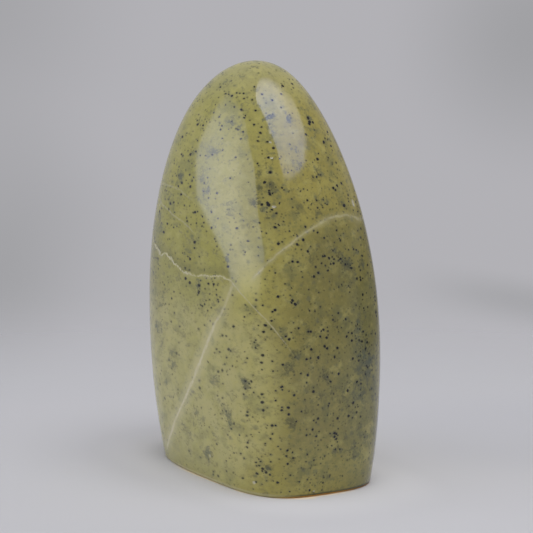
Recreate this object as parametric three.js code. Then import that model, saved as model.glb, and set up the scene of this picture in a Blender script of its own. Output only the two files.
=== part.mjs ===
// A polished serpentine freeform: one solid, hand-ground stone that stands on a flat sawn base.
// Millimetres, +Z up. The origin is the middle of the footprint box, on the base plane.
// +X is the right-hand end, -X the left-hand end, -Y the broad front face and +Y the back face.
import * as THREE from "three";

// Driving dimensions.
const height = 110;

// How far the stone reaches from the upright line through its crown, at the widest place on each side.
const reach = { right: 37.5, left: 40, front: 20, back: 25 };

// The height of that widest place: the stone's belly hangs lower at the right-hand end.
const bellyHeight = { right: 31, left: 46, front: 44, back: 44 };

// How much the base draws in below the belly on each side.
const baseInset = { right: 2.7, left: 6.2, front: 2, back: 2.7 };

// How the side closes over the crown: 0.5 is a plain ellipse, less is a fuller shoulder, more a slimmer one.
const shoulder = { right: 0.6, left: 0.44, front: 0.54, back: 0.55 };
const crownShoulder = 0.5;

// How square each upright corner is: 2 is an ellipse, more is flatter faces with a tighter corner between them.
const squareness = { frontLeft: 3, frontRight: 3.9, backRight: 3, backLeft: 3 };
const crownSquareness = 2.6;

// The sawn edge of the base is eased by hand.
const edge = { depth: 0.5, height: 0.9, steps: 3 };

// The belly's swell below its widest place, and how early each setting turns into the crown's own.
const insetPower = 2.2;
const squarenessPower = 1.5;
const shoulderPower = 6;

// Facets.
const facetsAround = 80;
const ringsBelowBelly = 12;
const ringsOverCrown = 29;
const lastRingTurn = THREE.MathUtils.degToRad(89);

// A setting given for the four sides, blended smoothly round the stone.
function bySide(setting, bearing) {
  const alongX = Math.cos(bearing) >= 0 ? setting.right : setting.left;
  const alongY = Math.sin(bearing) >= 0 ? setting.back : setting.front;
  return alongX * Math.cos(bearing) ** 2 + alongY * Math.sin(bearing) ** 2;
}

// A setting given for the four upright corners, blended in the same way.
function byCorner(setting, bearing) {
  const corners = {
    backRight: Math.PI / 4,
    backLeft: (3 * Math.PI) / 4,
    frontLeft: (-3 * Math.PI) / 4,
    frontRight: -Math.PI / 4,
  };
  let sum = 0;
  for (const [name, direction] of Object.entries(corners)) {
    sum += setting[name] * Math.max(0, Math.cos(bearing - direction)) ** 2;
  }
  return sum;
}

// The widest outline seen from above: a rounded oblong, as a superellipse.
function outlineRadius(bearing, level) {
  const x = Math.cos(bearing) / (Math.cos(bearing) >= 0 ? reach.right : reach.left);
  const y = Math.sin(bearing) / (Math.sin(bearing) >= 0 ? reach.back : reach.front);
  const corner = byCorner(squareness, bearing);
  const power = corner + (crownSquareness - corner) * Math.max(0, level) ** squarenessPower;
  return (Math.abs(x) ** power + Math.abs(y) ** power) ** (-1 / power);
}

// The share of that outline left at a height: drawn in at the base, full at the belly, closed at the crown.
function sideProfile(bearing, z) {
  const belly = bySide(bellyHeight, bearing);
  if (z < belly) {
    const inset = bySide(baseInset, bearing) / bySide(reach, bearing);
    return 1 - inset * ((belly - z) / belly) ** insetPower;
  }
  const rise = (z - belly) / (height - belly);
  const side = bySide(shoulder, bearing);
  const closing = side + (crownShoulder - side) * rise ** shoulderPower;
  return Math.max(0, 1 - rise ** 2) ** closing;
}

// What the eased edge takes off just above the base.
function edgeEasing(z) {
  const below = Math.max(0, 1 - z / edge.height);
  return edge.depth * (1 - Math.sqrt(1 - below ** 2));
}

function stoneRadius(bearing, z) {
  return outlineRadius(bearing, z / height) * sideProfile(bearing, z) - edgeEasing(z);
}

// The heights of the facet rings, closer together on the eased edge and towards the crown.
function ringHeights() {
  const belly = (bellyHeight.right + bellyHeight.left) / 2;
  const heights = [];
  for (let i = 0; i < edge.steps; i++) {
    heights.push(edge.height * (1 - Math.cos((i / edge.steps) * (Math.PI / 2))));
  }
  for (let i = 0; i < ringsBelowBelly; i++) {
    heights.push(edge.height + ((belly - edge.height) * i) / ringsBelowBelly);
  }
  for (let i = 0; i <= ringsOverCrown; i++) {
    heights.push(belly + (height - belly) * Math.sin((lastRingTurn * i) / ringsOverCrown));
  }
  return heights;
}

// A lathe of unit radius gives the rings, and each vertex is then moved out or in to the stone's surface.
function stoneGeometry() {
  const profile = [new THREE.Vector2(0, 0)];
  for (const z of ringHeights()) profile.push(new THREE.Vector2(1, z));
  profile.push(new THREE.Vector2(0, height));
  const geometry = new THREE.LatheGeometry(profile, facetsAround);
  geometry.rotateX(Math.PI / 2);

  const position = geometry.getAttribute("position");
  for (let i = 0; i < position.count; i++) {
    const [x, y, z] = [position.getX(i), position.getY(i), position.getZ(i)];
    if (Math.hypot(x, y) < 0.5) continue; // the two ends, on the axis
    const bearing = Math.atan2(y, x);
    const radius = stoneRadius(bearing, z);
    position.setXY(i, radius * Math.cos(bearing), radius * Math.sin(bearing));
  }
  geometry.deleteAttribute("uv");
  geometry.computeVertexNormals();

  geometry.computeBoundingBox();
  const middle = geometry.boundingBox.getCenter(new THREE.Vector3());
  return geometry.translate(-middle.x, -middle.y, 0);
}

const serpentine = new THREE.MeshStandardMaterial({ color: 0x96905a, roughness: 0.15, metalness: 0 });

const stone = new THREE.Mesh(stoneGeometry(), serpentine);
stone.name = "stone";

const part = new THREE.Group();
part.add(stone);
export default part;
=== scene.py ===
"""A polished serpentine freeform standing on its flat sawn base."""
import math
import bpy
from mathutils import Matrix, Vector, noise
from mathutils.kdtree import KDTree


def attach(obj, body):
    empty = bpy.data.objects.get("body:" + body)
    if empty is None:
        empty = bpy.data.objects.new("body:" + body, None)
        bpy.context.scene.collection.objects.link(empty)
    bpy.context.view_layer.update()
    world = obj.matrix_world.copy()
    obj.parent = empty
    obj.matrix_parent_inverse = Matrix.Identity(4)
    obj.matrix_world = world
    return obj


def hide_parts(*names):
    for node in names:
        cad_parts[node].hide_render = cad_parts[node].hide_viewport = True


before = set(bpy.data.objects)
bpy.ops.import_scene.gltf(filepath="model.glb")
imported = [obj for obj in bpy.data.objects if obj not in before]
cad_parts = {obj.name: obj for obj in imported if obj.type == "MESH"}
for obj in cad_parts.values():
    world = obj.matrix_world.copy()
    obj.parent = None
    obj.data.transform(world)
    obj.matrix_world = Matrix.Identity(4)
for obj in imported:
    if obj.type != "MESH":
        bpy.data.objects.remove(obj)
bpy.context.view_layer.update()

# ------------------------------------------------------------------------------------------------ camera
# A long lens a little over half a metre away, level with the crown, looks at the upright edge where
# the broad front face turns into the right-hand end.
view_bearing = math.radians(-31.6)
view_elevation = math.radians(8.27)
view_distance = 0.620
look_at = Vector((0.00255, -0.00039, 0.05509))

towards_camera = Vector((
    math.cos(view_bearing) * math.cos(view_elevation),
    math.sin(view_bearing) * math.cos(view_elevation),
    math.sin(view_elevation),
))
camera_data = bpy.data.cameras.new("camera")
camera_data.lens = 156.9
camera_data.sensor_width = 36
camera = bpy.data.objects.new("camera", camera_data)
camera.location = look_at + view_distance * towards_camera
camera.rotation_euler = towards_camera.to_track_quat("Z", "Y").to_euler()
bpy.context.scene.collection.objects.link(camera)
bpy.context.scene.camera = camera
bpy.context.scene.view_settings.view_transform = "Standard"


# ------------------------------------------------------------------------------------------------ stone
# One lump of yellow-green serpentine, ground by hand to a tall rounded form, sawn flat underneath
# and polished all over. It starts as a copy of the faceted solid, made into a fine even skin.
millimetre = 0.001
crown_axis = Vector((1.25, -2.5, 0)) * millimetre

# The smallest steps that count as a difference, and the border round the base.
least_distance = 0.001 * millimetre
least_radius = 0.01 * millimetre
least_turn = math.radians(0.5)
base_border = 0.4 * millimetre


def shape_with(piece, kind, **settings):
    """Adds a modifier to the piece and applies it."""
    modifier = piece.modifiers.new(kind.lower(), kind)
    for name, value in settings.items():
        setattr(modifier, name, value)
    bpy.ops.object.modifier_apply(modifier=modifier.name)


def select_where(piece, part, wanted):
    """In edit mode, selects only the vertices, edges or faces that the test wants."""
    bpy.ops.object.mode_set(mode="EDIT")
    bpy.ops.mesh.select_mode(type={"vertices": "VERT", "edges": "EDGE", "polygons": "FACE"}[part])
    bpy.ops.mesh.select_all(action="DESELECT")
    bpy.ops.object.mode_set(mode="OBJECT")
    for item in getattr(piece.data, part):
        item.select = wanted(item)
    bpy.ops.object.mode_set(mode="EDIT")


stone = bpy.data.objects.new("polished_stone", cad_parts["stone"].data.copy())
bpy.context.scene.collection.objects.link(stone)
bpy.ops.object.select_all(action="DESELECT")
stone.select_set(True)
bpy.context.view_layer.objects.active = stone
bpy.ops.object.mode_set(mode="EDIT")
bpy.ops.mesh.select_all(action="SELECT")
bpy.ops.mesh.remove_doubles(threshold=least_distance)


def runs_aslant(edge):
    """True for the diagonal that halves a facet: its ends differ in height and in bearing."""
    ends = [stone.data.vertices[i].co - crown_axis for i in edge.vertices]
    level = abs(ends[0].z - ends[1].z) < least_distance
    flat = [Vector((end.x, end.y)) for end in ends]
    if level or min(end.length for end in flat) < least_radius:
        return False
    return flat[0].angle(flat[1]) > least_turn


select_where(stone, "edges", runs_aslant)
bpy.ops.mesh.dissolve_edges(use_verts=False)

# The sawn base becomes one face with a narrow border, so that its edge stays crisp in the fine skin.
select_where(stone, "polygons", lambda face: face.normal.z < -0.99)
bpy.ops.mesh.dissolve_faces()
bpy.ops.mesh.inset(thickness=base_border)
bpy.ops.object.mode_set(mode="OBJECT")
shape_with(stone, "SUBSURF", levels=1, render_levels=1)


def ease(value, start, end):
    """Goes smoothly from 0 to 1 as the value goes from start to end, and stays there."""
    share = min(1, max(0, (value - start) / (end - start)))
    return share * share * (3 - 2 * share)


# Grinding has left the broad front a little fuller in its middle, and has blended its two halves there.
# The front comes in over these ranges of bearing, in degrees, and of height, in millimetres.
front_fullness = 0.2
front_spread = 8
front_left = (-140, -108)
front_right = (-45, -82)
front_foot = (1, 8)
front_top = (108, 98)
blending_passes = 60
front_rings = {}
for vertex in stone.data.vertices:
    place = (vertex.co - crown_axis) / millimetre
    bearing = math.degrees(math.atan2(place.y, place.x))
    share = ease(bearing, *front_left) * ease(bearing, *front_right) * ease(place.z, *front_foot)
    if share > 0:
        fuller = front_fullness * math.exp(-(place.x / front_spread) ** 2 / 2) * ease(place.z, *front_top)
        vertex.co.y -= fuller * share * millimetre
        front_rings.setdefault(round(place.z, 2), []).append((bearing, share / 2, vertex))
for ring in front_rings.values():
    ring.sort(key=lambda entry: entry[0])
    for _ in range(blending_passes):
        places = [vertex.co.copy() for _, _, vertex in ring]
        for before, (_, blending, vertex), after in zip(places, ring[1:], places[2:]):
            vertex.co = vertex.co.lerp((before + after) / 2, blending)


well_outside = 100


def on_surface(bearing, height):
    """The point of the skin at a bearing about the crown axis, in degrees, and a height in millimetres."""
    outwards = Vector((math.cos(math.radians(bearing)), math.sin(math.radians(bearing)), 0))
    start = crown_axis + Vector((0, 0, height * millimetre)) + outwards * well_outside * millimetre
    return stone.ray_cast(start, -outwards)[1]


# ---- cracks and chips in the stone
# A rough, half-healed crack crosses the front face and runs round the left-hand end, with a fine open
# groove along its upper side. Its course is given as x and height on the front face, in millimetres.
# Most of its points were worked out from the photo by a scratch program.
rough_crack = [
    (-28, 61.5), (-24.6, 59.6), (-20.8, 58.4), (-18, 57.2), (-16.3, 58), (-14, 58), (-11.9, 57.4),
    (-9.8, 56.6), (-6.8, 55.5), (-4.4, 54.9), (-1.3, 54.6), (3.1, 54.4), (6.5, 55), (10.5, 55.4),
    (14.7, 55.8), (17.3, 55.4), (19.5, 55.2), (21, 54.2),
]
crack_end = 21
front_face = -21.5
crack_rise = 0.25
jag_size = 2
jag_reach = 0.25
jag_reach_left = 0.35
groove_depth = 0.22
groove_width = 0.7


def height_along(course, across):
    """The height of a course at a place across the stone, straight from point to point."""
    for (x0, z0), (x1, z1) in zip(course, course[1:]):
        if across < x1:
            return z0 + (z1 - z0) * max(0, across - x0) / (x1 - x0)
    return course[-1][1]


def above_crack(point):
    """How far a point lies above the rough crack, in millimetres. It reaches the back a little higher."""
    place = point / millimetre
    level = height_along(rough_crack, place.x) + crack_rise * max(0, place.y - front_face)
    reach = jag_reach + jag_reach_left * ease(place.x, 8, -14)
    return place.z - level - noise.fractal(place / jag_size, 0.8, 2.0, 4) * reach


# Small chips and pits in the polish: bearing, height, size across and upright, and depth in millimetres.
chips = [
    (-23, 74.6, 1.5, 0.6, 0.14), (-22.5, 90.5, 0.8, 0.5, 0.06), (-22.5, 86.6, 1.2, 0.5, 0.07),
    (23, 74.3, 1.5, 2.2, 0.16), (-70, 7, 0.7, 1.3, 0.12), (-33, 3.5, 1.1, 1.0, 0.12),
    (-7, 1.5, 0.9, 0.6, 0.10), (-146, 70.5, 0.8, 1.6, 0.15), (75, 52, 1.2, 0.6, 0.12),
    (118, 24, 0.8, 1.4, 0.12), (152, 71, 1.0, 0.6, 0.12), (-172, 33, 0.7, 0.9, 0.10),
]
chip_centres = [on_surface(bearing, height) for bearing, height, *_ in chips]
crack_margin = 2.4
chip_margin = 2.2


def needs_detail(face):
    """True for the faces beside the crack and the chips, which are divided once more."""
    beside_crack = abs(above_crack(face.center)) < crack_margin
    on_front = face.center.y < 2 * millimetre and face.center.x < (crack_end + 1) * millimetre
    nearest_chip = min((face.center - centre).length for centre in chip_centres)
    return beside_crack and on_front or nearest_chip < chip_margin * millimetre


select_where(stone, "polygons", needs_detail)
bpy.ops.mesh.subdivide(number_cuts=3, smoothness=1)
bpy.ops.object.mode_set(mode="OBJECT")
shape_with(stone, "SUBSURF", levels=1, render_levels=1)
for face in stone.data.polygons:
    face.use_smooth = True

skin = stone.data.vertices
nearby = KDTree(len(skin))
for index, vertex in enumerate(skin):
    nearby.insert(vertex.co, index)
nearby.balance()


def store(name, values):
    """Keeps one number for every vertex of the skin, for the stone's colours to read."""
    stone.data.attributes.new(name, "FLOAT", "POINT").data.foreach_set("value", values)


crack_gap = [above_crack(vertex.co) for vertex in skin]
cut = [0.0] * len(skin)
for index, gap in enumerate(crack_gap):
    place = skin[index].co / millimetre
    across = 1 - abs(gap / groove_width - 0.5) * 2
    if across > 0:
        openness = max(0, 0.6 + 0.8 * noise.noise(place / 4))
        opening_left = 0.25 + 0.75 * ease(place.x, 0, -14)
        along = ease(place.x, crack_end, 2) * ease(place.y, 4, -6)
        cut[index] = groove_depth * across * openness * opening_left * along

deepest_chip = max(depth for *_, depth in chips)
chipped = [0.0] * len(skin)
for centre, (bearing, _, across, upright, depth) in zip(chip_centres, chips):
    sideways = Vector((-math.sin(math.radians(bearing)), math.cos(math.radians(bearing)), 0))
    for position, index, _ in nearby.find_range(centre, max(across, upright) / 2 * millimetre):
        offset = (position - centre) / millimetre
        spread = (offset.dot(sideways) * 2 / across) ** 2 + (offset.z * 2 / upright) ** 2
        if spread < 1:
            chipped[index] = (1 - spread) * depth / deepest_chip
            cut[index] = max(cut[index], depth * (1 - spread))

# Hand polishing leaves the faces very slightly wavy: heights and lengths of the waves, in millimetres.
wave_height = 0.03
wave_length = 14
ripple_height = 0.005
ripple_length = 5
outwards = [vertex.normal.copy() for vertex in skin]
for index, vertex in enumerate(skin):
    place = vertex.co / millimetre
    wave = wave_height * noise.noise(place / wave_length) + ripple_height * noise.noise(place / ripple_length)
    vertex.co += outwards[index] * (wave * ease(place.z, 1, 6) - cut[index]) * millimetre
stone.data.update()

store("above_crack", crack_gap)
store("chipped", chipped)


# ---- the stone's colours, veins and specks
# Serpentine coloured by iron: a waxy yellow-green ground, honey-yellow in places, with blue-grey clouds,
# black grains of magnetite scattered through it, and healed cracks filled with pale calcite.
class Shade:
    """A socket of a shader. An expression on it adds the nodes that work it out."""

    def __init__(self, socket):
        self.socket = socket

    def node(self, kind, settings, inputs, output=0):
        """Adds a node. Its settings come first, then the values or links of its sockets."""
        tree = self.socket.id_data
        made = tree.nodes.new("ShaderNode" + kind)
        for name, value in settings.items():
            if name == "course":
                curve = made.mapping.curves[0]
                for place, point in zip(value, curve.points):
                    point.location = place
                for place in value[len(curve.points):]:
                    curve.points.new(*place)
                made.mapping.update()
            else:
                setattr(made, name, value)
        for name, value in inputs.items():
            end = next(s for s in made.inputs if s.identifier == name)
            if isinstance(value, Shade):
                tree.links.new(value.socket, end)
            else:
                end.default_value = value
        if isinstance(output, str):
            return Shade(next(s for s in made.outputs if s.identifier == output))
        return Shade(made.outputs[output])

    def maths(self, operation, first, second=0.0):
        return self.node("Math", {"operation": operation}, {"Value": first, "Value_001": second})

    def __add__(self, other):
        return self.maths("ADD", self, other)

    __radd__ = __add__

    def __sub__(self, other):
        return self.maths("SUBTRACT", self, other)

    def __rsub__(self, other):
        return self.maths("SUBTRACT", other, self)

    def __mul__(self, other):
        return self.maths("MULTIPLY", self, other)

    __rmul__ = __mul__

    def __truediv__(self, other):
        return self.maths("DIVIDE", self, other)

    def __pow__(self, other):
        return self.maths("POWER", self, other)

    def __abs__(self):
        return self.maths("ABSOLUTE", self)

    def smaller(self, other):
        return self.maths("MINIMUM", self, other)

    def below(self, other):
        return self.maths("LESS_THAN", self, other)

    def ease(self, start, end, low=0.0, high=1.0):
        """Goes smoothly from low to high as the value goes from start to end, and stays there."""
        settings = {"interpolation_type": "SMOOTHSTEP"}
        limits = {"From Min": start, "From Max": end, "To Min": low, "To Max": high}
        return self.node("MapRange", settings, {"Value": self, **limits}, "Result")

    def moved(self, by):
        return self.node("VectorMath", {"operation": "ADD"}, {"Vector": self, "Vector_001": by})

    def scaled(self, by):
        return self.node("VectorMath", {"operation": "SCALE"}, {"Vector": self, "Scale": by})

    def away_from(self, point):
        settings = {"operation": "DISTANCE"}
        return self.node("VectorMath", settings, {"Vector": self, "Vector_001": point}, "Value")

    def along(self, direction):
        settings = {"operation": "DOT_PRODUCT"}
        return self.node("VectorMath", settings, {"Vector": self, "Vector_001": direction}, "Value")

    def noise(self, size, detail=2.0, roughness=0.5, output="Fac"):
        """Soft lumps about as large as the size, in millimetres."""
        settings = {"noise_dimensions": "3D"}
        values = {"Vector": self, "Scale": 1 / size, "Detail": detail, "Roughness": roughness}
        return self.node("TexNoise", settings, values, output)

    def ragged(self, size, reach):
        """The same place pushed about by as much as the reach, in lumps of the given size."""
        push = self.noise(size, 2, 0.6, "Color").moved((-0.5, -0.5, -0.5))
        return self.moved(push.scaled(reach))

    def between(self, first, second):
        """A colour that goes from the first to the second as this value goes from 0 to 1."""
        colours = {"Factor_Float": self, "A_Color": first, "B_Color": second}
        return self.node("Mix", {"data_type": "RGBA"}, colours, "Result_Color")

    def painted(self, colour, amount):
        """This colour with another one laid over it."""
        return amount.between(self, colour)


serpentine = bpy.data.materials.new("serpentine")
serpentine.use_nodes = True
tree = serpentine.node_tree
surface = tree.nodes["Principled BSDF"]
start = Shade(surface.inputs["Base Color"])
place = start.node("TexCoord", {}, {}, "Object").scaled(1 / millimetre)
x = place.along((1, 0, 0))
y = place.along((0, 1, 0))
z = place.along((0, 0, 1))
corner = place.along((1, 1, 0))

# Clouds and grains are drawn out a little along the stone's old bedding, which lies along x.
bedding = 0.62
stretch = {"Vector": place, "Vector_001": (bedding, 1, 1)}
bedded = place.node("VectorMath", {"operation": "MULTIPLY"}, stretch)


def colour(red, green, blue):
    """A colour given as it looks on a screen, 0 to 255, made linear."""
    def linear(level):
        share = level / 255
        return share / 12.92 if share <= 0.04045 else ((share + 0.055) / 1.055) ** 2.4
    return (linear(red), linear(green), linear(blue), 1)


# Where the clouds and the thick scatters of grains lie: bearing in degrees about the crown axis, height
# and radius in millimetres, and strength. Each list goes round the stone from the left-hand end. Some of
# these places were worked out from the photo by scratch programs.
clouds = [
    # the left-hand end and the broad front
    (-145, 66, 5, 0.6), (-137, 37, 6, 0.6), (-133, 73, 2.5, 0.7), (-131, 46, 6, 0.7),
    (-125, 79, 3, 0.8), (-124, 56, 4, 0.5), (-120, 94, 3, 0.6), (-120, 30, 5, 0.5), (-110, 52, 3, 0.6),
    (-110, 12, 7, 0.6), (-108, 105, 3, 0.6), (-108, 78, 2, 0.7), (-100, 60, 4, 0.4), (-100, 44, 6, 0.4),
    (-95, 24, 4, 0.5), (-94, 79, 3, 0.6), (-90, 63, 2.5, 0.5), (-86, 85, 3, 0.8), (-85, 16, 5, 0.5),
    (-82, 52, 3, 1.0), (-81, 77.5, 3.4, 1.1), (-80, 87, 2.5, 0.8), (-75, 8, 5, 0.7), (-74, 93, 3, 0.8),
    (-74, 87, 3.5, 0.8), (-63, 107, 3, 0.7), (-62, 93, 3.5, 0.8), (-60, 94, 3, 0.8), (-60, 28, 4, 0.4),
    (-60, 13, 4, 0.6), (-57, 102, 3, 0.5), (-50, 71, 3, 0.2), (-50, 60, 1.8, 1.0), (-50, 19, 4, 0.6),
    (-48, 37, 2.5, 0.5), (-47, 94, 2.5, 0.7), (-45, 11, 3, 0.5), (-43, 45.5, 1.5, 0.8),
    (-38, 108.5, 3, 0.7), (-37, 29, 3.5, 0.8), (-36, 23, 2, 0.6),
    # the upright edge and the right-hand end
    (-33, 75, 2, 0.9), (-32, 40, 3, 1.0), (-31, 82, 2.2, 0.7), (-30, 79, 1.8, 1.0),
    (-30, 9.5, 1.5, 0.8), (-27, 77, 5.5, 0.7), (-27, 76, 2, 1.0), (-27, 8, 2.5, 1.0), (-26, 99, 2, 0.8),
    (-26, 78, 2.2, 1.0), (-26, 74.5, 2.2, 1.2), (-26, 72, 2.2, 1.0), (-25, 80, 2.2, 1.0),
    (-25, 53, 3, 0.7), (-24, 83, 1.8, 0.9), (-22, 96, 3.6, 1.3), (-20, 107, 2.5, 0.6),
    (-20, 35, 3.5, 0.7), (-19, 20, 3.5, 0.6), (-18, 60, 1.8, 0.6), (-18, 11, 2.5, 0.7),
    (-16, 93, 7, 0.45), (-16, 38, 2.5, 0.6), (-15, 51, 1.6, 1.0), (-12, 74, 3, 0.4), (-12, 30, 2, 0.7),
    (-12, 23, 1.8, 0.7), (-11, 43, 2.5, 0.7), (-10, 87.5, 4, 0.9), (-8, 9, 3, 0.7), (-7, 96, 3, 1.0),
    (-6, 84, 2.5, 0.5), (-6, 27, 4, 0.6), (-5, 4, 2, 0.5), (-4, 32, 3, 1.0), (-3, 64, 2, 0.6),
    (0, 73, 3, 0.5), (0, 16, 1.8, 0.8), (1, 46, 2.5, 0.6), (2, 82, 3.5, 0.7), (2, 56, 2.5, 0.7),
    (3, 12, 2, 0.6), (5, 61, 3, 0.9), (5, 25, 4, 0.5), (9, 92, 3, 0.5), (10, 80, 2, 0.7),
    (10, 60, 3.5, 1.0), (10, 48, 3, 0.5), (11, 96, 2, 0.7), (11, 10, 3, 0.5), (12, 27, 6, 0.8),
    (12, 20, 6, 0.3), (13, 38, 5, 0.8), (14, 75, 2, 0.8), (14, 43, 5, 0.9), (17, 60, 4, 0.7),
    (17, 33, 8, 0.8), (19, 24, 6, 0.5),
    # the back
    (45, 70, 6, 0.6), (50, 15, 7, 0.6), (70, 40, 9, 0.7), (95, 62, 7, 0.5), (110, 28, 9, 0.7),
    (120, 88, 6, 0.5), (140, 50, 8, 0.7), (165, 78, 6, 0.6), (175, 18, 8, 0.7), (-170, 55, 7, 0.5),
]

scatters = [
    # the left-hand end and the broad front
    (-123, 78, 3, 0.7), (-122, 94, 3, 0.6), (-108, 77, 2, 0.6), (-82, 52, 3, 0.6), (-78, 79, 4, 0.6),
    (-75, 8, 5, 0.4), (-60, 94, 4, 0.6), (-60, 55, 4, 0.5), (-50, 59, 2, 0.6), (-50, 16, 7, 0.5),
    (-40, 99, 7, 0.5), (-37, 29, 3, 0.7),
    # the upright edge and the right-hand end
    (-32, 40, 3, 0.8), (-31, 1.5, 4, 0.7), (-30, 88, 7, 0.5), (-28, 8, 3, 0.9), (-26, 76, 5, 1.1),
    (-24, 83, 2, 0.6), (-20, 71, 4, 0.6), (-19, 21, 3, 0.5), (-10, 3, 3, 0.8), (-8, 21, 4, 0.6),
    (-4, 32, 4, 0.6), (-3, 10, 4, 0.5), (0, 3.5, 3, 0.7), (2, 74, 8, 1.0), (5, 60, 10, 1.1),
    (10, 95, 3, 0.8), (10, 79, 3, 0.7), (12, 40, 6, 0.9), (14, 74, 3, 0.8), (14, 46, 6, 0.7),
    (16, 60, 6, 0.8), (19, 33, 6, 0.7),
    # the back
    (80, 45, 12, 0.5), (125, 35, 12, 0.5), (150, 80, 9, 0.5),
]

# Where the stone is a paler gold, and where it is a darker olive.
golden = [
    (-130, 80, 9, 0.4), (-122, 90, 12, 0.5), (-70, 31, 6, 0.5), (-65, 39, 10, 0.6), (-57, 84, 7, 0.7),
    (-52, 50, 7, 0.8), (-49, 75, 7, 1.0), (-46, 68, 7, 1.0), (-44, 15, 9, 0.7), (-40, 48, 6, 0.8),
    (-37, 61, 7, 1.0), (-36, 54, 7, 1.0), (-33, 34, 7, 0.6), (-30, 23, 9, 1.0), (-28, 68, 5, 0.7),
    (-15, 61, 5, 0.6), (-8, 10, 9, 0.6), (-5, 77, 4, 0.5), (10, 80, 4, 0.6), (12, 8, 7, 0.3),
]

dusky = [
    (-136, 47, 9, 0.4), (-98, 60, 8, 0.4), (-92, 78, 6, 0.5), (-88, 87, 6, 0.5), (-25, 79, 6, 1.0),
    (-24, 43.5, 5, 0.6), (-22, 72, 7, 1.0), (-20, 105, 6, 0.5), (-14, 76, 5, 0.4), (0, 65, 8, 1.0),
    (2, 46, 8, 0.4), (3, 58, 9, 0.8), (4, 71, 8, 0.9), (7, 92, 5, 0.5), (12, 84, 6, 0.5),
    (12, 52, 9, 0.6), (15, 77, 7, 0.8), (16, 44, 8, 0.5), (16, 30, 7, 0.8), (17, 36, 9, 0.8),
]


def paint_spots(name, spots):
    """Stores how strongly the spots of a list cover the skin."""
    cover = [0.0] * len(skin)
    for bearing, height, radius, strength in spots:
        centre = on_surface(bearing, height)
        for _, index, distance in nearby.find_range(centre, radius * millimetre):
            share = (1 - (distance / (radius * millimetre)) ** 2) ** 2
            cover[index] = max(cover[index], strength * share)
    store(name, cover)


paint_spots("golden", golden)
paint_spots("dusky", dusky)
paint_spots("clouded", clouds)
paint_spots("peppered", scatters)
clouded = start.node("Attribute", {"attribute_name": "clouded"}, {}, "Fac")
peppered = start.node("Attribute", {"attribute_name": "peppered"}, {}, "Fac")
chip = start.node("Attribute", {"attribute_name": "chipped"}, {}, "Fac")
gap = start.node("Attribute", {"attribute_name": "above_crack"}, {}, "Fac")

# The ground colour: greener on the broad front, yellower round the corner and over the right-hand end,
# honey-coloured towards the crown and a deeper olive over the right-hand end below it.
broad = place.noise(22, 2)
fine = place.noise(5, 3)
warmth = (corner + broad * 40 - 20).ease(-18, 16)
ground = warmth.between(colour(167, 162, 88), colour(168, 158, 79))
upper_front = z.ease(52, 62) * corner.ease(4, -8)
ground = ground.painted(colour(170, 164, 72), upper_front * 0.5)
honey = (z + broad * 30).ease(76, 92) * z.ease(108, 96) * corner.ease(6, 22)
ground = ground.painted(colour(158, 146, 70), honey * 0.7)
right_end = (corner + fine * 14).ease(20, 36) * (z - corner * 0.4 + broad * 12).ease(68, 56)
right_end_colour = z.ease(25, 50).between(colour(126, 120, 74), colour(121, 114, 59))
ground = ground.painted(right_end_colour, right_end * z.ease(0, 16, 0.3, 1.0) * 0.75)

# Greyer green at the left-hand end and along its foot, a bluer green and a dark lower edge at the right.
left_end = corner.ease(-34, -48) * z.ease(25, 36) * z.ease(76, 64)
ground = ground.painted(colour(116, 114, 76), left_end * 0.42)
far_right = corner.ease(36, 44) * z.ease(60, 50)
ground = ground.painted(colour(116, 124, 102), far_right * 0.2)
left_foot = z.ease(14, 5) * corner.ease(0, -20)
ground = ground.painted(colour(116, 114, 76), left_foot * 0.2)
right_edge = corner.ease(43, 49) * z.ease(20, 10) + corner.ease(34, 42) * z.ease(8, 3)
ground = ground.painted(colour(98, 94, 58), right_edge.smaller(1) * 0.35)

# Paler at the very top, milky over the lower front, and broken up by pale, golden and olive patches.
ground = ground.painted(colour(174, 170, 124), z.ease(96, 108) * 0.5)
milky = z.ease(-6, 12) * z.ease(52, 42) * (corner + z.ease(16, 2) * 12).ease(24, 8)
ground = ground.painted(colour(198, 190, 128), milky * fine.ease(0.3, 0.6, 0.5, 1.0) * 0.65)
pale_patches = bedded.noise(4, 4, 0.6)
ground = ground.painted(colour(188, 180, 108), pale_patches.ease(0.5, 0.7) * 0.45)
gold = start.node("Attribute", {"attribute_name": "golden"}, {}, "Fac")
dusk = start.node("Attribute", {"attribute_name": "dusky"}, {}, "Fac")
ground = ground.painted(colour(196, 188, 108), gold * fine.ease(0.25, 0.65, 0.6, 1.0) * 0.45)
ground = ground.painted(colour(98, 92, 48), dusk * fine.ease(0.65, 0.25, 0.6, 1.0) * 0.42)
olive_patches = bedded.moved((31, 17, 5)).noise(5, 4, 0.6)
olive = corner.ease(4, 24).between(colour(128, 130, 82), colour(98, 100, 64))
ground = ground.painted(olive, olive_patches.ease(0.5, 0.7) * 0.5)

# Grey-green clouds deep in the stone, broken up like smoke, and bluer at the far right and near the top.
wisps = bedded.ragged(3, 2.5).noise(2.6, 5, 0.7)
drift = place.noise(11, 2)
haze = (wisps + clouded * 0.16 + (drift - 0.5) * 0.3).ease(0.56, 0.7)
smoke = corner.ease(-12, 8).between(colour(80, 88, 76), colour(68, 72, 52))
smoke = smoke.painted(colour(74, 83, 72), far_right + z.ease(84, 90))
ground = ground.painted(smoke, haze * (clouded * 0.3 + 0.5).smaller(0.9))

# A fine mottle of pale and dark green all over.
mottle = bedded.noise(1.3, 4, 0.7)
ground = ground.painted(colour(204, 196, 108), mottle.ease(0.52, 0.72) * corner.ease(4, 24, 0.32, 0.16))
ground = ground.painted(colour(96, 102, 62), mottle.ease(0.48, 0.28) * 0.45)


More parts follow.
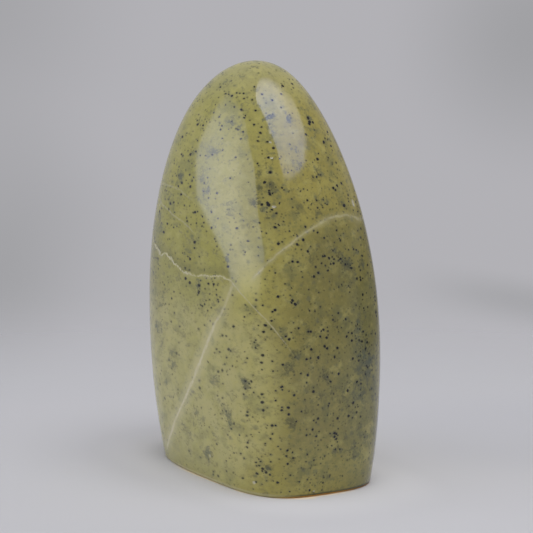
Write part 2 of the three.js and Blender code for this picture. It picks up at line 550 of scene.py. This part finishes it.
# Grains of magnetite.
def grains(cell, smallest, largest, share, raggedness):
    """How far outside the nearest grain a place lies, with one grain or none, of any size, in a cell."""
    settings = {"voronoi_dimensions": "3D", "feature": "F1"}
    scale = {"Vector": bedded.ragged(0.7, raggedness), "Scale": 1 / cell}
    distance = start.node("TexVoronoi", settings, scale, "Distance")
    chance = Shade(next(s for s in distance.socket.node.outputs if s.identifier == "Color"))
    radius = chance.along((1, 0, 0)) ** 1.6 * (largest - smallest) + smallest
    missing = 1 - chance.along((0, 1, 0)).below(share)
    return distance * cell - radius + missing * cell


# They are thickest in the scatters, over the right-hand end and at the left of the upper front, and few
# over the lower front and in the bare places: bearing, height and radius.
thick = place.noise(8, 2).ease(0.42, 0.62)
right_side = corner.ease(-16, 14)
lower_front = corner.ease(14, 4) * z.ease(52, 44)
bare_places = [(-12, 94, 13), (-42, 58, 10), (-62, 80, 16)]
bare = 0
for bearing, height, radius in bare_places:
    centre = on_surface(bearing, height) / millimetre
    bare = bare + place.away_from(tuple(centre)).ease(radius, radius * 0.6)
left_shoulder = corner.ease(-8, -18) * z.ease(36, 46)
density = thick * 0.3 + peppered * 0.6 + right_side * 0.25 + left_shoulder * 0.22 + 0.08
density = density * (1 - lower_front * 0.35) * (1 - bare.smaller(1) * 0.6)
deep_density = density * 0.4 + clouded * 0.3
specks = grains(cell=1.5, smallest=0.15, largest=0.38, share=density, raggedness=0.4)
small_specks = grains(cell=0.85, smallest=0.08, largest=0.2, share=density * 0.5, raggedness=0.3)
dust = grains(cell=1.1, smallest=0.12, largest=0.3, share=density * 0.7 + 0.1, raggedness=0.5)
deep_specks = grains(cell=1.8, smallest=0.25, largest=0.7, share=deep_density, raggedness=1.2)

# The grains that stand out: their width in millimetres, and the bearing and height of each. Nearly all
# of these places were worked out from the photo by scratch programs and then rounded.
large_grains = {
    0.85: [(-25.5, 75), (10, 96), (10, 95), (15, 74), (26, 46)],
    0.7: [(-120, 74.5), (-108, 77), (-90, 63), (-80, 52), (-49, 58.5), (-28, 45), (-24, 83), (-24, 49),
          (-17, 51.5), (-16, 50.5), (1, 16.5), (1, 15.5), (9, 94.5), (11, 78.5)],
    0.65: [(-10, 43.5), (-9, 63.5), (-5, 58), (3, 60), (7, 61), (14, 79), (17, 39)],
    0.6: [(-124, 93), (-122, 77.5), (-81, 86), (-49, 98), (-44, 43.5), (-29, 75), (-29, 7.7),
          (-27.5, 6.8), (-26, 75.5), (-23, 69.5), (-21, 89), (-19, 22.5), (-17, 27.5), (-14, 61),
          (-12, 36.5), (-6, 42), (-1, 62), (3, 92), (9, 59.5), (9, 42), (14, 39.5), (17, 32.5),
          (20, 61), (22, 65.5)],
    0.5: [(-128, 72), (-126, 76.5), (-116, 103), (-113, 93), (-105, 68), (-85, 76.5), (-80, 50.5),
          (-76, 92.5), (-75, 93.5), (-57, 49.5), (-57, 44.5), (-50, 93), (-44, 96), (-44, 92.5),
          (-39, 4), (-37, 30), (-37, 28), (-36, 22), (-33, 98), (-32, 9.1), (-30.5, 8.4), (-29, 92.5),
          (-26, 6.3), (-24.5, 90.4), (-24.5, 86.6), (-24, 73.8), (-24, 26), (-24, 19.5), (-22, 73),
          (-22, 29.5), (-20, 42.5), (-17, 11), (-15, 44.5), (-11, 43.5), (-7, 36.5), (-6, 76),
          (-6, 59.5), (-5, 68.5), (-3, 31.5), (-2, 62), (-2, 24.5), (-1, 74), (0, 66.5), (1, 61.5),
          (3, 47.5), (4, 12), (12, 78), (15, 63), (15, 42), (17, 57.5), (18, 36), (20, 31.5)],
    0.42: [(-135, 72.5), (-130, 84.5), (-127, 94), (-114, 89), (-107, 78.5), (-105, 79.5), (-97, 70.5),
           (-92, 85.5), (-91, 101.5), (-82, 101.5), (-82, 70), (-81, 67.5), (-79, 68.5), (-77, 47),
           (-76, 75), (-72, 47.5), (-70, 71.5), (-66, 87.5), (-65, 43.5), (-64, 102), (-64, 47),
           (-61, 98.5), (-60, 11), (-58, 36.5), (-57, 102), (-55, 36), (-53, 24), (-51, 47.5),
           (-51, 4.5), (-50, 102), (-49, 35), (-46, 37), (-46, 16.5), (-45, 51.5), (-44, 18),
           (-40, 10.5), (-38, 26.5), (-38, 9.5), (-36, 36), (-35, 29.5), (-34, 94.5), (-32, 41),
           (-32, 39), (-31, 90.5), (-31, 85), (-30, 9.5), (-29, 50), (-28, 94), (-25, 78.5), (-14, 4.5),
           (-12, 30.5), (-8, 10), (-3, 3.5), (21, 72.5), (26, 49)],
    0.35: [(-125, 69.5), (-120, 83.5), (-119, 66), (-104, 72), (-90, 71), (-82, 49.5), (-72, 42),
           (-68, 46), (-66, 50.5), (-66, 49), (-59, 52), (-49, 14.5), (-38, 95.5), (-28, 14.5),
           (-27, 68), (-25, 33.5), (-24, 28.5), (-23, 14), (-21, 70), (-20, 66), (-19, 71), (-18, 43.5),
           (-14, 76.5), (-14, 74.5), (-12, 64), (-7, 24.5), (0, 81.5), (2, 74), (5, 82), (8, 66),
           (11, 40.5), (12, 63), (12, 44), (13, 37), (14, 86), (20, 41)],
}
speckled = bedded.ragged(0.7, 0.4)
landmark = None
for width, places in large_grains.items():
    nearest = None
    for bearing, height in places:
        centre = on_surface(bearing, height) / millimetre
        distance = speckled.away_from((centre.x * bedding, centre.y, centre.z))
        nearest = distance if nearest is None else nearest.smaller(distance)
    outside = nearest - width / 2
    landmark = outside if landmark is None else landmark.smaller(outside)

# Grains deep in the stone show grey-green and those at the skin black, a little paler at the lower left.
grain = specks.smaller(small_specks).smaller(landmark)
softened = 1 - corner.ease(24, -24, 0.0, 0.45) * z.ease(54, 36)
ground = ground.painted(colour(74, 86, 76), deep_specks.ease(0.5, -0.4) * 0.45)
ground = ground.painted(colour(66, 74, 62), grain.ease(0.4, 0) * 0.3)
ground = ground.painted(colour(66, 66, 38), dust.ease(0.12, -0.12) * 0.6)
ground = ground.painted(colour(10, 13, 14), grain.ease(0.08, -0.06) * softened)


# Healed cracks: each is a thin curved sheet that cuts through the stone, and is drawn by its gap, which
# is how far a place lies from the sheet, in millimetres.
def course(along, points):
    """The height, or place, of a sheet's edge for each step along it, smooth through the given points."""
    lowest, highest = points[0][0], points[-1][0]
    bottom = min(p[1] for p in points)
    top = max(p[1] for p in points)
    share = (along - lowest) / (highest - lowest)
    steps = [((p[0] - lowest) / (highest - lowest), (p[1] - bottom) / (top - bottom)) for p in points]
    level = start.node("FloatCurve", {"course": steps}, {"Factor": 1.0, "Value": share})
    return level * (top - bottom) + bottom


behind_front = y - front_face
wander = (place.noise(4, 3) - 0.5) * 1.6 + (place.noise(1.3, 3) - 0.5) * 0.8
healed = place.noise(2.2, 4, 0.7)
faint = healed.ease(0.35, 0.6, 0.3, 1.0)
on_front = y.ease(-2, -10)

# A pale arch over the right-hand end: x + y, and height.
pale_arch = [(2, 53), (7.5, 56.4), (15.4, 62), (21.2, 65.5), (28.7, 69.6), (35.4, 71.6), (41, 70)]
arch_gap = abs(z - course(corner, pale_arch) - wander)
arch = arch_gap.ease(0.5, 0.05) * faint * corner.ease(18, 36, 0.42, 0.46) + arch_gap.ease(1.6, 0.2) * 0.2
arch = arch * corner.ease(5, 10) * corner.ease(28, 38, 1.0, 0.7)

# A broad band down the front face to its left foot: height, and x.
broad_band = [(4, -19.8), (12, -12), (21.5, -2.4), (34, 7.1), (42, 12.4), (48, 17), (52, 19), (55, 20)]
band_gap = abs(x - course(z, broad_band) - wander - behind_front * 0.4)
band = band_gap.ease(0.95, 0.2) * healed.ease(0.3, 0.65, 0.5, 1.0) * 0.65 + band_gap.ease(5, 0.5) * 0.35
band = band * z.ease(2, 5) * z.ease(55, 53) * z.ease(50, 42, 0.6, 1.0) * on_front

# A thin branch that falls over the right-hand end: x + y, and height.
thin_branch = [(-2, 54.8), (1.2, 53.1), (7.5, 49.6), (15.5, 44.8), (25.6, 35.5)]
branch_gap = abs(z - course(corner, thin_branch) - wander * 0.5)
branch = branch_gap.ease(0.4, 0.05) * corner.ease(-2.5, -1) * corner.ease(27, 14) * y.ease(4, -4)

# Two hair-thin lines across the left half of the front, above the rough crack: x, and height.
upper_hair = [(-22, 70.7), (-12.7, 68.8), (-4.3, 67), (2, 64.5)]
hair_gap = abs(z - course(x, upper_hair) - behind_front * 0.2 - wander * 0.6)
hair = hair_gap.ease(0.4, 0.05) * x.ease(4, -4) * on_front

top_hair = [(-22, 75.2), (-13, 75.5), (-6.2, 74.3), (0, 72.7)]
top_gap = abs(z - course(x, top_hair) - behind_front * 0.2 - wander * 0.6)
top_line = top_gap.ease(0.45, 0.05) * x.ease(1, -8) * on_front * faint

# Where the healed cracks meet, the calcite spreads out as a pale patch.
patch = place.ragged(3, 3).away_from((25.5, -19.8, 55)).ease(7.5, 0.5)

calcite = colour(204, 197, 160)
crack_shown = x.ease(crack_end + 1, crack_end - 3)
ground = ground.painted(colour(208, 200, 112), patch * 0.5)
ground = ground.painted(calcite, arch)
ground = ground.painted(colour(214, 207, 164), band)
ground = ground.painted(calcite, branch * faint * 0.6)
ground = ground.painted(calcite, hair * healed.ease(0.35, 0.6, 0.4, 1.0) * 0.42)
ground = ground.painted(calcite, top_line * 0.36)

# The rough crack: a white lip, a groove above it darkened with painted shade, and above that a painted shade
# that fades upwards.
lip_width = place.noise(1.1, 3, 0.6).ease(0.3, 0.7, 0.02, 0.42) * x.ease(2, -10, 0.6, 1.0)
lip = (abs(gap + 0.15) - lip_width).ease(0.3, -0.15) * healed.ease(0.3, 0.6, 0.45, 1.0) * crack_shown
flank = gap.ease(-1.8, -0.3) * gap.ease(0.2, -0.1) * place.noise(3, 3).ease(0.4, 0.6) * crack_shown
# Painted shade above the crack, fading upwards.
shade_above_crack = gap.ease(0.2, 0.7) * gap.ease(3.5, 0.8) * crack_shown
# Painted shade in the groove above the white lip.
groove = gap.ease(0.15, 0.35) * gap.ease(0.8, 0.5) * x.ease(10, -12) * crack_shown
ground = ground.painted(colour(112, 112, 62), shade_above_crack * 0.4)
ground = ground.painted(colour(62, 64, 40), groove * healed.ease(0.35, 0.6) * 0.6)
ground = ground.painted(calcite, flank * 0.3)
lip_colour = x.ease(4, -6).between(colour(204, 196, 150), colour(214, 208, 176))
ground = ground.painted(lip_colour, lip * 0.62)
# The chips are painted whitish: partly the pale broken stone, partly a painted glint.
ground = ground.painted(colour(216, 212, 198), chip.ease(0.05, 0.5) * 0.5)

# The eased edge round the base is less polished. Along it, colour stands in for light: painted shade where it
# faces down at the right, painted light at the left, and a thin orange painted glow at the right, for light
# let through the thin foot.
right_foot = corner.ease(12, 28)
# Painted shade: a dark line where the eased edge faces down, at the right.
ground = ground.painted(colour(36, 44, 36), z.ease(1.1, 0.7) * right_foot * 0.75)
# Painted light: a pale line along the eased edge at the left.
ground = ground.painted(colour(186, 178, 132), z.ease(1.4, 0.5) * (1 - right_foot) * 0.6)
# Painted glow: a thin orange line at the right, for light let through the thin foot.
ground = ground.painted(colour(196, 140, 30), z.ease(0.45, 0.3) * right_foot * 0.95)

tree.links.new(ground.socket, surface.inputs["Base Color"])
dulled = lip * 0.35 + z.ease(1.0, 0.6) * 0.45 + place.noise(6, 3) * 0.03 + 0.075
tree.links.new(dulled.socket, surface.inputs["Roughness"])
surface.inputs["IOR"].default_value = 1.56
surface.inputs["Subsurface Weight"].default_value = 0.15
surface.inputs["Subsurface Radius"].default_value = (1.5, 1.3, 0.6)
surface.inputs["Subsurface Scale"].default_value = millimetre

stone.data.materials.clear()
stone.data.materials.append(serpentine)
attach(stone, "root")
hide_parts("stone")

# ------------------------------------------------------------------------------------------------ stage
# A broad sheet of pale paper, with painted light that leaves it a little darker further away, under an even
# grey room.
bpy.ops.object.select_all(action="DESELECT")
paper_radius = 1.2
bpy.ops.mesh.primitive_circle_add(vertices=96, radius=paper_radius, fill_type="NGON")
floor = bpy.context.active_object
floor.name = "paper_floor"
paper = bpy.data.materials.new("paper")
paper.use_nodes = True
paper_surface = paper.node_tree.nodes["Principled BSDF"]
paper_surface.inputs["Roughness"].default_value = 0.9
paper_start = Shade(paper_surface.inputs["Base Color"])
spot = paper_start.node("TexCoord", {}, {}, "Object")

# Painted light: the paper is painted brighter close round the stone, as if its polished foot threw light
# on it, and warm where light has come through the thin edge. A broad faint painted shadow lies on the far
# side. The foot is taken as a rounded oblong, with one corner a little fuller: beside is 1 at its edge and
# grows outwards.
foot_half_width = 0.0338
foot_half_depth = 0.0197
roundness = 3
across = abs(spot.along((1 / foot_half_width, 0, 0)) - 0.053)
along = abs(spot.along((0, 1 / foot_half_depth, 0)) + 0.018)
beside = (across ** roundness + along ** roundness) ** (1 / roundness)
beside = beside - spot.along((0.6, -0.8, 0)).ease(0.0265, 0.0292) * 0.04
near_stone = spot.away_from((0.04, 0, 0)).ease(0.1, 0.03)
front_side = spot.along((0.3, -1, 0)).ease(0, 0.015) * spot.along((1, 0, 0)).ease(0.045, 0.02)
clear_of_ends = abs(spot.along((0.524, 0.852, 0))).ease(0.026, 0.018)
soft_glow = beside.ease(1.3, 1.05) * front_side * clear_of_ends
edge_glow = beside.ease(1.055, 1.02) * clear_of_ends
# Painted light: the paper is brighter near the stone and a little darker further away.
paper_with_painted_light = near_stone.between((0.555, 0.553, 0.553, 1), (0.588, 0.584, 0.581, 1))
# Painted light: brighter close round the foot.
paper_with_painted_light = paper_with_painted_light.painted((0.65, 0.645, 0.638, 1), beside.ease(1.8, 1.2))
# Painted light: a warm glow before the front of the foot, and a brighter one right at its edge.
paper_with_painted_light = paper_with_painted_light.painted((0.78, 0.72, 0.6, 1), soft_glow * 0.25)
paper_with_painted_light = paper_with_painted_light.painted((1.0, 0.86, 0.58, 1), edge_glow * 0.8)
# Painted shadow: a broad faint shade on the far side of the stone.
paper_with_painted_light = paper_with_painted_light.painted((0.53, 0.53, 0.535, 1), spot.away_from((0, 0.085, 0)).ease(0.065, 0.02))
paper.node_tree.links.new(paper_with_painted_light.socket, paper_surface.inputs["Base Color"])
faded = paper_start.node("MixShader", {}, {"Fac": spot.away_from((0.1, -0.06, 0)).ease(0.1, 0.5)})
clear = paper_start.node("BsdfTransparent", {}, {})
paper.node_tree.links.new(paper_surface.outputs[0], faded.socket.node.inputs[1])
paper.node_tree.links.new(clear.socket, faded.socket.node.inputs[2])
paper.node_tree.links.new(faded.socket, paper.node_tree.nodes["Material Output"].inputs[0])
floor.data.materials.append(paper)

world = bpy.data.worlds.new("room")
world.use_nodes = True
bpy.context.scene.world = world
room_start = Shade(world.node_tree.nodes["Background"].inputs["Color"])
seen = room_start.node("TexCoord", {}, {}, "Generated")
sideways = Vector((-math.sin(view_bearing), math.cos(view_bearing), 0))
forwards = Vector((math.cos(view_bearing), math.sin(view_bearing), 0))

# Soft shades on the wall behind, each a place to the right and up, a radius and a depth, and the shade of
# a fold that runs off to the right.
backdrop_shades = [
    (-0.115, -0.13, 0.07, 0.8), (-0.13, -0.03, 0.09, 0.8),
    (0.115, -0.045, 0.07, 1.0), (-0.13, -0.178, 0.06, 0.6),
]
level = seen.along((0, 0, 1))
rightwards = seen.along(tuple(sideways))
fold = abs(level + rightwards * 0.15 + 0.142).ease(0.014, 0)
shade = fold * rightwards.ease(0.05, 0.11) * 0.8
for right, up, radius, depth in backdrop_shades:
    towards = (right * sideways - forwards + Vector((0, 0, up))).normalized()
    shade = shade + seen.away_from(tuple(towards)).ease(radius, 0) * depth
room = shade.between((0.445, 0.44, 0.465, 1), (0.355, 0.355, 0.37, 1))

# Low down beyond the stone's right-hand end the room is darker.
dark_end = seen.away_from((-0.035, 0.999, 0)).ease(0.78, 0.5)
dark_end = dark_end * level.ease(0.2, 0.06) * level.ease(-0.2, -0.1)
room = room.painted((0.2, 0.195, 0.2, 1), dark_end)
world.node_tree.links.new(room.socket, room_start.socket)

# Two soft lights: an upright panel beyond the front face and a panel overhead, towards the camera.
middle = Vector((0, 0, 0.055))


def light_panel(name, corners, bright, dim, dimming, strength):
    """A glowing sheet, unseen by the camera itself. Two functions of a place on it dim and weaken it."""
    mesh = bpy.data.meshes.new(name)
    mesh.from_pydata(corners, [], [tuple(range(len(corners)))])
    panel = bpy.data.objects.new(name, mesh)
    bpy.context.scene.collection.objects.link(panel)
    glow = bpy.data.materials.new(name)
    glow.use_nodes = True
    glow.node_tree.nodes.clear()
    emission = glow.node_tree.nodes.new("ShaderNodeEmission")
    output = glow.node_tree.nodes.new("ShaderNodeOutputMaterial")
    spot = Shade(emission.inputs["Color"]).node("TexCoord", {}, {}, "Object")
    shown = dimming(spot).between((*bright, 1), (*dim, 1)).scaled(strength(spot))
    glow.node_tree.links.new(shown.socket, emission.inputs["Color"])
    glow.node_tree.links.new(emission.outputs[0], output.inputs[0])
    mesh.materials.append(glow)
    panel.visible_camera = False
    return panel


def aimed(bearing, elevation, distance):
    """The place that lies at a bearing and an elevation, in degrees, seen from the stone's middle."""
    bearing = math.radians(bearing)
    elevation = math.radians(elevation)
    across = Vector((math.cos(bearing), math.sin(bearing), 0)) * math.cos(elevation)
    return middle + distance * (across + Vector((0, 0, math.sin(elevation))))


# The side panel's corners: bearing and elevation. Most were worked out by scratch programs, from the
# outline of the photo's reflection.
side_corners = [
    (-154.5, 23.5), (-153, 18.8), (-152.2, 15.6), (-152.3, 12.5), (-152, 9.5), (-151.1, 7.5),
    (-150, 5.9), (-149.2, 4.5), (-147.9, 3.3), (-144.4, 2.6), (-139.7, 1.4), (-137, 0),
    (-132.7, -1.9), (-128.8, -2.2), (-124.9, -1.9), (-120.4, -1.5), (-110.9, -0.5), (-101.3, 0.3),
    (-97.4, 1.6), (-96, 3.5), (-93.5, 6.2), (-91, 9), (-84.5, 11.9), (-90, 14.6), (-97.2, 18),
    (-101, 23), (-105, 26), (-112.6, 26.4), (-119.8, 28.6), (-125, 29.8), (-135.5, 29.5), (-152, 28.5),
]
panel_distance = 2.5

# The direction along the side panel, towards its near end, with a slight rise.
side_bearing = math.radians(-120)
side_rise = 0.25
side_tangent = (-math.sin(side_bearing), math.cos(side_bearing), side_rise)


def side_dimming(spot):
    """Its upper part dims towards the end nearer the camera, and the whole panel towards its foot."""
    up = spot.along((0, 0, 1))
    return spot.along(side_tangent).ease(-0.15, 0.25) * up.ease(0.25, 0.5) + up.ease(0.3, 0) * 0.7


def side_strength(spot):
    """It fades out upwards, and is weaker at its far end and along its foot."""
    onwards = spot.along(side_tangent)
    fading = spot.along((-0.26, 0.15, 1)).ease(0.7, 1.95, 1.0, 0.0) * onwards.ease(-1.25, -0.75, 0.72, 1.0)
    return fading * (spot.along((0, 0, 1)) - onwards * 0.25).ease(-0.1, 0.2, 0.3, 1.0)


side_places = [aimed(bearing, elevation, panel_distance) for bearing, elevation in side_corners]
light_panel(
    "side_panel", side_places, bright=(2.15, 2.2, 2.6), dim=(1.45, 1.58, 2.1),
    dimming=side_dimming, strength=side_strength,
)

# The top panel's corners: how far each lies to the right and towards the camera, in shares of the
# panel's height over the stone. These were worked out by scratch programs in the same way.
top_corners = [
    (-0.5, -0.11), (-0.78, -0.03), (-0.92, 0.08), (-0.93, 0.2), (-0.74, 0.41), (-0.46, 0.65),
    (-0.14, 0.85), (0.04, 1.05), (0.17, 1.12), (0.46, 1.09), (0.78, 0.95), (1.12, 0.67),
    (1.23, 0.47), (1.13, 0.29), (0.92, 0.06), (0.72, -0.11), (0.47, -0.24), (0.2, -0.18), (-0.15, -0.1),
]


def top_dimming(spot):
    """A belt across the panel, on the camera's side of its middle, is bluer than the rest."""
    near = spot.along(tuple(forwards))
    return near.ease(0, 0.35 * panel_distance) * near.ease(1.05 * panel_distance, 0.7 * panel_distance)


def top_strength(spot):
    """It is strongest a little way towards the camera, and fades a little to the right."""
    near = spot.along(tuple(forwards))
    right = spot.along(tuple(sideways))
    rising = near.ease(-0.22 * panel_distance, 0.1 * panel_distance, 0.25, 1.0)
    falling = near.ease(0.3 * panel_distance, panel_distance, 1.0, 0.78)
    return rising * falling * right.ease(0.3 * panel_distance, 1.1 * panel_distance, 1.0, 0.8)


overhead = Vector((0, 0, 1))
top_places = [
    middle + panel_distance * (overhead + right * sideways + near * forwards)
    for right, near in top_corners
]
top_panel = light_panel(
    "top_panel", top_places, bright=(3.0, 2.95, 3.6), dim=(2.7, 3.0, 4.9),
    dimming=top_dimming, strength=top_strength,
)
top_panel.visible_diffuse = False

# An even light from above, which gives the stone and the paper their shading.
fill = bpy.data.lights.new("ceiling", "AREA")
fill.shape = "DISK"
fill.size = 2.0
fill.energy = 30
ceiling = bpy.data.objects.new("ceiling", fill)
ceiling.location = (0.62, 0.1, 2.33)
ceiling.rotation_euler = ceiling.location.to_track_quat("Z", "Y").to_euler()
ceiling.visible_glossy = False
ceiling.visible_camera = False
bpy.context.scene.collection.objects.link(ceiling)
